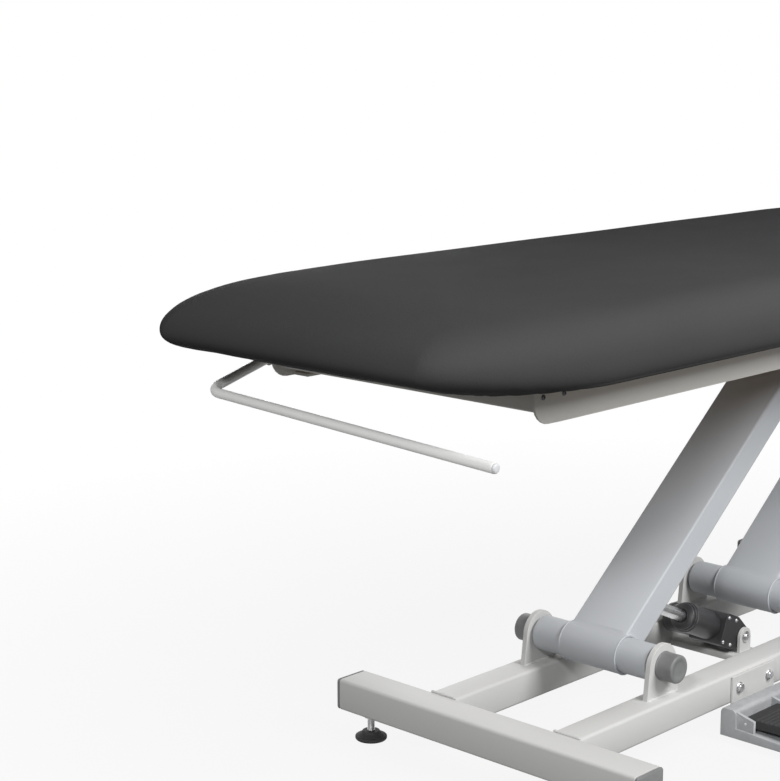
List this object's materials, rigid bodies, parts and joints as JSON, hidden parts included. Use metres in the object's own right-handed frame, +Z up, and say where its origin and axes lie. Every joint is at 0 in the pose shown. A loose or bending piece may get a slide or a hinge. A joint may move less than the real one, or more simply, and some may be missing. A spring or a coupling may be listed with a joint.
{
  "type": "electric examination table",
  "caption": "Examination table with a one-piece padded top on a parallel-arm electric lift, floor frame with levelling feet, foot switch and paper-roll rod.",
  "frame": {"origin": "on the floor, under the middle of the table's outline", "axes": "+X along the table away from the paper-roll end, +Y away from the foot-switch side, +Z up"},
  "size_m": [1.95, 0.655, 0.7587],
  "materials": {
    "frame_paint": "satin",
    "arm_paint": "satin",
    "rod_paint": "satin",
    "upholstery": "satin",
    "plywood": "matte",
    "cap_plastic": "matte",
    "black_plastic": "satin",
    "grey_plastic": "satin",
    "rubber": "matte",
    "steel": "satin"
  },
  "bodies": {
    "base": {"actuator_carrier": "frame_paint", "actuator_floor_pin": "steel", "base_beam_far": "frame_paint", "base_beam_near": "frame_paint", "foot_beam_head": "frame_paint", "foot_beam_roll": "frame_paint", "foot_plug_head_far": "cap_plastic", "foot_plug_head_near": "cap_plastic", "foot_plug_roll_far": "cap_plastic", "foot_plug_roll_near": "cap_plastic", "level_pad_head_far": "rubber", "level_pad_head_near": "rubber", "level_pad_roll_far": "rubber", "level_pad_roll_near": "rubber", "level_stem_head_far": "steel", "level_stem_head_near": "steel", "level_stem_roll_far": "steel", "level_stem_roll_near": "steel", "lower_cap_front_far": "cap_plastic", "lower_cap_front_near": "cap_plastic", "lower_cap_rear_far": "cap_plastic", "lower_cap_rear_near": "cap_plastic", "lower_tube_front": "arm_paint", "lower_tube_rear": "arm_paint", "pedal_pin": "steel", "switch_base": "grey_plastic", "switch_bracket": "frame_paint"},
    "front_arm": {"front_arm": "arm_paint"},
    "rear_arm": {"rear_arm": "arm_paint"},
    "bed": {"bearer_front": "frame_paint", "bearer_rear": "frame_paint", "control_box": "black_plastic", "end_cross_head": "frame_paint", "end_cross_roll": "frame_paint", "main_pad": "upholstery", "mains_inlet": "cap_plastic", "pad_board": "plywood", "rail_far": "frame_paint", "rail_near": "frame_paint", "rail_screw_far_head_inner": "black_plastic", "rail_screw_far_head_outer": "black_plastic", "rail_screw_near_head_inner": "black_plastic", "rail_screw_near_head_outer": "black_plastic", "rail_screw_near_roll_inner": "black_plastic", "rail_screw_near_roll_outer": "black_plastic", "upper_cap_front_far": "cap_plastic", "upper_cap_front_near": "cap_plastic", "upper_cap_rear_far": "cap_plastic", "upper_cap_rear_near": "cap_plastic", "upper_tube_front": "arm_paint", "upper_tube_rear": "arm_paint"},
    "roll_rod": {"roll_rod": "rod_paint"},
    "roll_knob": {"roll_knob": "black_plastic"},
    "actuator_body": {"actuator_gear": "black_plastic", "actuator_motor": "black_plastic", "actuator_tube": "black_plastic"},
    "actuator_rod": {"actuator_arm_pin": "steel", "actuator_rod": "steel"},
    "pedal_up": {"pedal_up": "rubber"},
    "pedal_down": {"pedal_down": "rubber"}
  },
  "joints": [
    {"name": "lift", "type": "hinge", "parent": "base", "child": "front_arm", "pos_m": [-0.30097, 0, 0.1435], "axis": [0, -1, 0], "range_deg": [-27.3, 18.7]},
    {"name": "bed_level", "type": "hinge", "parent": "front_arm", "child": "bed", "pos_m": [0.2243, 0, 0.56583], "axis": [0, -1, 0], "range_deg": [-19.2, 27.8]},
    {"name": "rear_arm_turn", "type": "hinge", "parent": "base", "child": "rear_arm", "pos_m": [0.12903, 0, 0.1435], "axis": [0, -1, 0], "range_deg": [-27.8, 19.2]},
    {"name": "actuator_swing", "type": "hinge", "parent": "base", "child": "actuator_body", "pos_m": [0.05743, 0, 0.0835], "axis": [0, -1, 0], "range_deg": [-4.2, 5.9]},
    {"name": "actuator_stroke", "type": "slide", "parent": "actuator_body", "child": "actuator_rod", "axis": [-0.914, 0, 0.4058], "range_m": [-0.0392, 0.0272]},
    {"name": "pedal_up_press", "type": "hinge", "parent": "base", "child": "pedal_up", "pos_m": [-0.13547, -0.2013, 0.03838], "axis": [1, 0, 0], "range_deg": [0, 7], "stiffness_Nm_per_rad": 4, "springref_deg": -3.44},
    {"name": "pedal_down_press", "type": "hinge", "parent": "base", "child": "pedal_down", "pos_m": [-0.03647, -0.2013, 0.03838], "axis": [1, 0, 0], "range_deg": [0, 7], "stiffness_Nm_per_rad": 4, "springref_deg": -3.44},
    {"name": "roll_rod_draw", "type": "slide", "parent": "bed", "child": "roll_rod", "axis": [-0.964, 0, -0.2659], "range_m": [0, 0.026]},
    {"name": "roll_knob_turn", "type": "hinge", "parent": "bed", "child": "roll_knob", "pos_m": [-0.74888, 0.2641, 0.63534], "axis": [0, 1, 0], "range_deg": [0, 270]}
  ],
  "couplings": [
    {"joint": "bed_level", "follows": "lift", "ratio": -1},
    {"joint": "rear_arm_turn", "follows": "lift", "ratio": 1},
    {"joint": "actuator_swing", "follows": "lift", "ratio": -0.19822},
    {"joint": "actuator_stroke", "follows": "lift", "m_per_rad": 0.080149}
  ]
}
